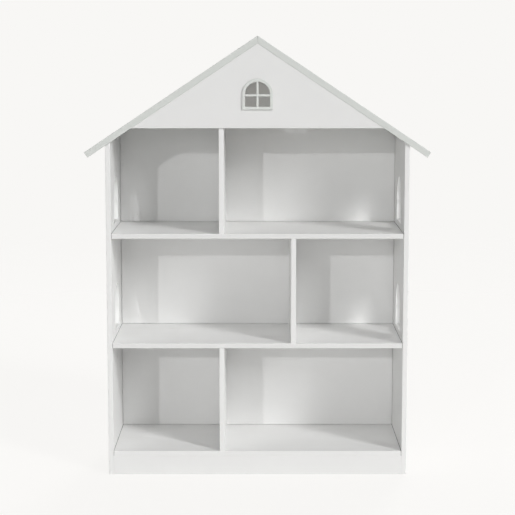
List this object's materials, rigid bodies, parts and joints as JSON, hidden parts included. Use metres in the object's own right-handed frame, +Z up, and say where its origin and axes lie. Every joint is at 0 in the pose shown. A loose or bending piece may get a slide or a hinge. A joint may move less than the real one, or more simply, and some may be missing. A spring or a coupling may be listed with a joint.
{
  "type": "dollhouse bookcase",
  "caption": "Open-front wooden dollhouse: storeys split by dividers, gable roof with overhanging eaves, arched windows with glazing bars, plain plinth.",
  "frame": {"origin": "on the floor, at the centre of the object's footprint", "axes": "+Z up, +X to the viewer's right when facing the open front, the open front faces -Y"},
  "size_m": [0.826, 0.2834, 1.063],
  "materials": {
    "white_paint": "satin white lacquer on fibreboard",
    "grey_paint": "satin pale grey lacquer on fibreboard",
    "bare_pine": "planed, unfinished",
    "beech_dowel": "fluted, unfinished",
    "zinc_steel": "bright zinc plate",
    "cast_zinc": "as cast",
    "white_plastic": "moulded"
  },
  "bodies": {
    "root": {"back_panel_screws": "zinc_steel", "bottom_shelf": "white_paint", "cam_bolts": "zinc_steel", "cam_caps": "white_plastic", "cam_locks": "cast_zinc", "divider_dowels": "beech_dowel", "gable_batten_left": "bare_pine", "gable_batten_right": "bare_pine", "gable_batten_screws": "zinc_steel", "gable_panel": "white_paint", "gable_window_frame": "grey_paint", "left_middle_window_frame": "grey_paint", "left_side_panel": "white_paint", "left_upper_window_frame": "grey_paint", "lower_back_panel": "white_paint", "lower_divider": "white_paint", "middle_back_panel": "white_paint", "middle_divider": "white_paint", "middle_shelf": "white_paint", "plinth_blocks": "bare_pine", "plinth_dowels": "beech_dowel", "plinth_front": "white_paint", "plinth_rear": "white_paint", "ridge_batten": "bare_pine", "ridge_dowels": "beech_dowel", "ridge_screws": "zinc_steel", "right_middle_window_frame": "grey_paint", "right_side_panel": "white_paint", "right_upper_window_frame": "grey_paint", "roof_dowels": "beech_dowel", "roof_left": "grey_paint", "roof_right": "grey_paint", "shelf_dowels": "beech_dowel", "upper_back_panel": "white_paint", "upper_divider": "white_paint", "upper_shelf": "white_paint"}
  },
  "joints": []
}
